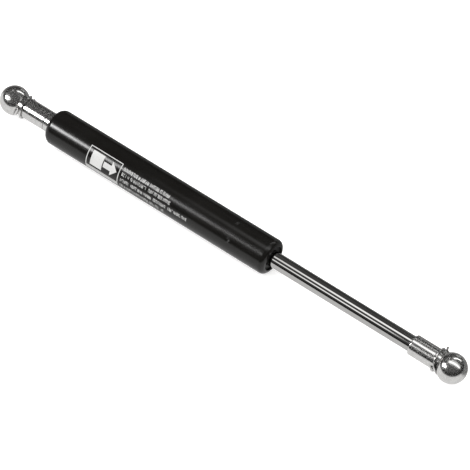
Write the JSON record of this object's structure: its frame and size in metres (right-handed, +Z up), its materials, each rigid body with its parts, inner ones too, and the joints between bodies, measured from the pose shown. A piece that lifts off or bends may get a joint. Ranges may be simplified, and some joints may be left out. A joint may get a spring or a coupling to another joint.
{
  "type": "gas strut stay",
  "caption": "Slim gas spring stay with a black tube, a chromed rod and a steel ball socket with a wire safety clip at each end.",
  "frame": {"origin": "centre of the ball that the base socket takes", "axes": "+X along the strut from the base ball's centre to the rod ball's centre, with the strut fully extended; both socket mouths face -Z; +Z up"},
  "size_m": [0.28, 0.0186, 0.0184],
  "materials": {
    "black_paint": "gloss black paint",
    "blackened_steel": "satin black oxide",
    "bronze": "turned",
    "white_plastic": "matt",
    "seal_rubber": "matt",
    "bright_steel": "turned",
    "zinc_plate": "bright plated",
    "spring_wire": "bright drawn wire",
    "hard_chrome": "ground and hard chromed",
    "ring_plastic": "matt"
  },
  "bodies": {
    "barrel": {"pressure_tube": "black_paint", "end_washer": "blackened_steel", "rod_guide": "bronze", "backup_ring": "white_plastic", "rod_seal": "seal_rubber", "support_washer": "bright_steel", "base_plug": "bright_steel", "plug_o_ring": "seal_rubber", "base_stud": "zinc_plate", "base_socket": "zinc_plate"},
    "slider": {"piston_ring": "ring_plastic"},
    "rod": {"piston_rod": "hard_chrome", "flow_washer": "bright_steel", "piston": "bronze", "retaining_washer": "bright_steel", "rod_socket": "zinc_plate"},
    "base_wire": {"base_clip": "spring_wire"},
    "rod_wire": {"rod_clip": "spring_wire"}
  },
  "joints": [
    {"name": "rod_slide", "type": "slide", "parent": "barrel", "child": "slider", "axis": [1, 0, 0], "range_m": [-0.08, 0], "stiffness_N_per_m": 25, "springref_m": 0.12},
    {"name": "rod_spin", "type": "hinge", "parent": "slider", "child": "rod", "pos_m": [0.18, 0, 0], "axis": [1, 0, 0], "continuous": true},
    {"name": "base_clip_slide", "type": "slide", "parent": "barrel", "child": "base_wire", "axis": [1, 0, 0], "range_m": [0, 0.003], "stiffness_N_per_m": 60, "springref_m": -0.004},
    {"name": "rod_clip_slide", "type": "slide", "parent": "rod", "child": "rod_wire", "axis": [-1, 0, 0], "range_m": [0, 0.003], "stiffness_N_per_m": 60, "springref_m": -0.004}
  ]
}
